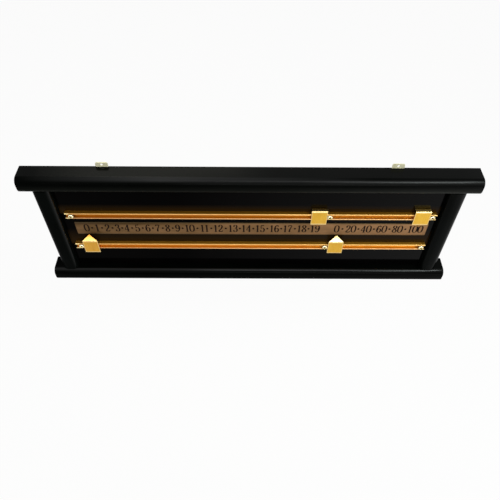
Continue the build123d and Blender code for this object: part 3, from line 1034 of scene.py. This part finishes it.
cap_low = span("cap_rail")[0]
base_high = span("base_rail")[1]
rail("cap_moulding", ["cap_rail"], 1, cap_low[2], True, LACQUER_CAP)
rail("base_moulding", ["base_rail"], -1, base_high[2], False, LACQUER_X)
post("left_upright", "left_post", -1)
post("right_upright", "right_post", 1)
add_piece("number_strip_plate", "board", BRONZE, ["number_strip"], number_strip())
add_piece("strip_numerals", "board", ENAMEL, ["number_strip"], numerals())
track("upper_track_channel", "upper_track")
track("lower_track_channel", "lower_track")
track_screws("upper_screw_heads", "upper_track_screws", "upper_track", (0.3, 1.1, 0.75))
track_screws("lower_screw_heads", "lower_track_screws", "lower_track", (0.9, 0.2, 0.55))
plate_screws("left_plate_screw_pair", "left_plate_screws", (0.5, 1.2))
plate_screws("right_plate_screw_pair", "right_plate_screws", (0.15, 0.8))
pointers = ("upper_units", "upper_twenties", "lower_units", "lower_twenties")
for body in pointers:
    pointer(body, tip_up=body.startswith("lower"))

# CAD nodes whose own shape is right get their finish
own_shapes = {
    "back_panel": POLISHED,
    "left_hanger_plate": PALE_BRASS,
    "right_hanger_plate": PALE_BRASS,
    "cap_dowels": BEECH,
    "base_dowels": BEECH,
}
own_shapes.update({body + "_slider": DRAWN_BRASS for body in pointers})
for node, finish in own_shapes.items():
    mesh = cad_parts[node].data
    mesh.materials.clear()
    mesh.materials.append(finish)

# Floor, world, lamps and camera

FLOOR_Z = -0.62
FLOOR_HALF = 15
FLOOR_GLOW = 0.94  # share of the floor's white that doesn't come from the lamps
ROOM_LIGHT = 0.3  # how much of its white the room throws on the object
MIDDLE = (0, 0, -0.14)  # of the board


def seen_rays(tree):
    """A factor of 1 for what the camera sees, straight, in a reflection or through glass."""
    path = add(tree, "ShaderNodeLightPath").outputs
    rays = ("Is Camera Ray", "Is Glossy Ray", "Is Transmission Ray")
    return where_any(tree, *(path[ray] for ray in rays))


def pale_floor():
    """A pale floor: seen straight or in a reflection it is mostly its own white, which the
    object's shadow still darkens."""
    finish = bpy.data.materials.new("pale_floor")
    tree = emptied(finish)
    share = where_all(tree, seen_rays(tree), FLOOR_GLOW)
    matt = add(tree, "ShaderNodeBsdfDiffuse", {"Color": srgb("#f4f4f2")})
    glow = add(tree, "ShaderNodeEmission", {"Color": srgb("#ffffff"), "Strength": 1.0})
    mix = add(tree, "ShaderNodeMixShader", {0: share, 1: matt.outputs[0], 2: glow.outputs[0]})
    add(tree, "ShaderNodeOutputMaterial", {"Surface": mix.outputs[0]})
    return finish


def pale_room():
    """A white world: its full white where it is seen, and dimmer as a light."""
    world = bpy.data.worlds.new("pale_room")
    tree = emptied(world)
    inputs = {"Value": seen_rays(tree), "To Min": ROOM_LIGHT, "To Max": 1.0}
    strength = add(tree, "ShaderNodeMapRange", inputs).outputs[0]
    sky = add(tree, "ShaderNodeBackground", {"Color": srgb("#ffffff"), "Strength": strength})
    add(tree, "ShaderNodeOutputWorld", {"Surface": sky.outputs[0]})
    return world


floor_mesh = bpy.data.meshes.new("floor")
floor_corners = [(-1, -1), (1, -1), (1, 1), (-1, 1)]
floor_points = [(x * FLOOR_HALF, y * FLOOR_HALF, FLOOR_Z) for x, y in floor_corners]
floor_mesh.from_pydata(floor_points, [], [(0, 1, 2, 3)])
floor_mesh.materials.append(pale_floor())
floor = bpy.data.objects.new("floor", floor_mesh)
bpy.context.scene.collection.objects.link(floor)
bpy.context.scene.world = pale_room()


def lamp(name, place, target, width, height, watts, tint="#ffffff"):
    """A rectangular softbox that faces its target, in metres and watts."""
    light = bpy.data.lights.new(name, "AREA")
    light.shape = "RECTANGLE"
    light.size = width
    light.size_y = height
    light.energy = watts
    light.color = srgb(tint)[:3]
    holder = bpy.data.objects.new(name, light)
    holder.location = place
    holder.rotation_euler = (Vector(target) - Vector(place)).to_track_quat("-Z", "Y").to_euler()
    bpy.context.scene.collection.objects.link(holder)


lamp("key_softbox", (0.88, -0.7, 1.05), MIDDLE, 0.84, 0.25, 11.5, "#f4fffb")
lamp("fill_softbox", (0.15, -0.8, 1.2), MIDDLE, 0.8, 0.3, 3.4)
lamp("front_softbox", (-0.1, -1.65, 0.12), MIDDLE, 1.8, 0.2, 8)
lamp("top_softbox", (-0.42, 1.1, 1.05), (0, 0, -0.05), 0.8, 0.3, 5.4, "#fffff0")
lamp("low_softbox", (0.8, -0.6, -0.5), (0.15, 0, -0.15), 0.7, 0.4, 0.8)

CAMERA_PLACE = (-0.004463, -0.664609, 0.577463)
CAMERA_PITCH = math.radians(50.13)  # down from level
CAMERA_YAW = -0.0083
CAMERA_ROLL = 0.0107
SENSOR_WIDTH = 36
FOCAL_SHARE = 1.058  # focal length as a share of the picture's width

right = Vector((1, 0, 0))
ahead = Vector((0, math.cos(CAMERA_PITCH), -math.sin(CAMERA_PITCH)))
above = Vector((0, math.sin(CAMERA_PITCH), math.cos(CAMERA_PITCH)))
turn = Matrix.Rotation(CAMERA_YAW, 3, "Z")
right, ahead, above = turn @ right, turn @ ahead, turn @ above
roll_cos, roll_sin = math.cos(CAMERA_ROLL), math.sin(CAMERA_ROLL)
right, above = roll_cos * right + roll_sin * above, roll_cos * above - roll_sin * right
facing = Matrix((right, above, -ahead)).transposed().to_4x4()
camera_data = bpy.data.cameras.new("camera")
camera_data.sensor_width = SENSOR_WIDTH
camera_data.lens = SENSOR_WIDTH * FOCAL_SHARE
camera = bpy.data.objects.new("camera", camera_data)
camera.matrix_world = Matrix.Translation(CAMERA_PLACE) @ facing
bpy.context.scene.collection.objects.link(camera)
bpy.context.scene.camera = camera
bpy.context.scene.view_settings.view_transform = "Standard"
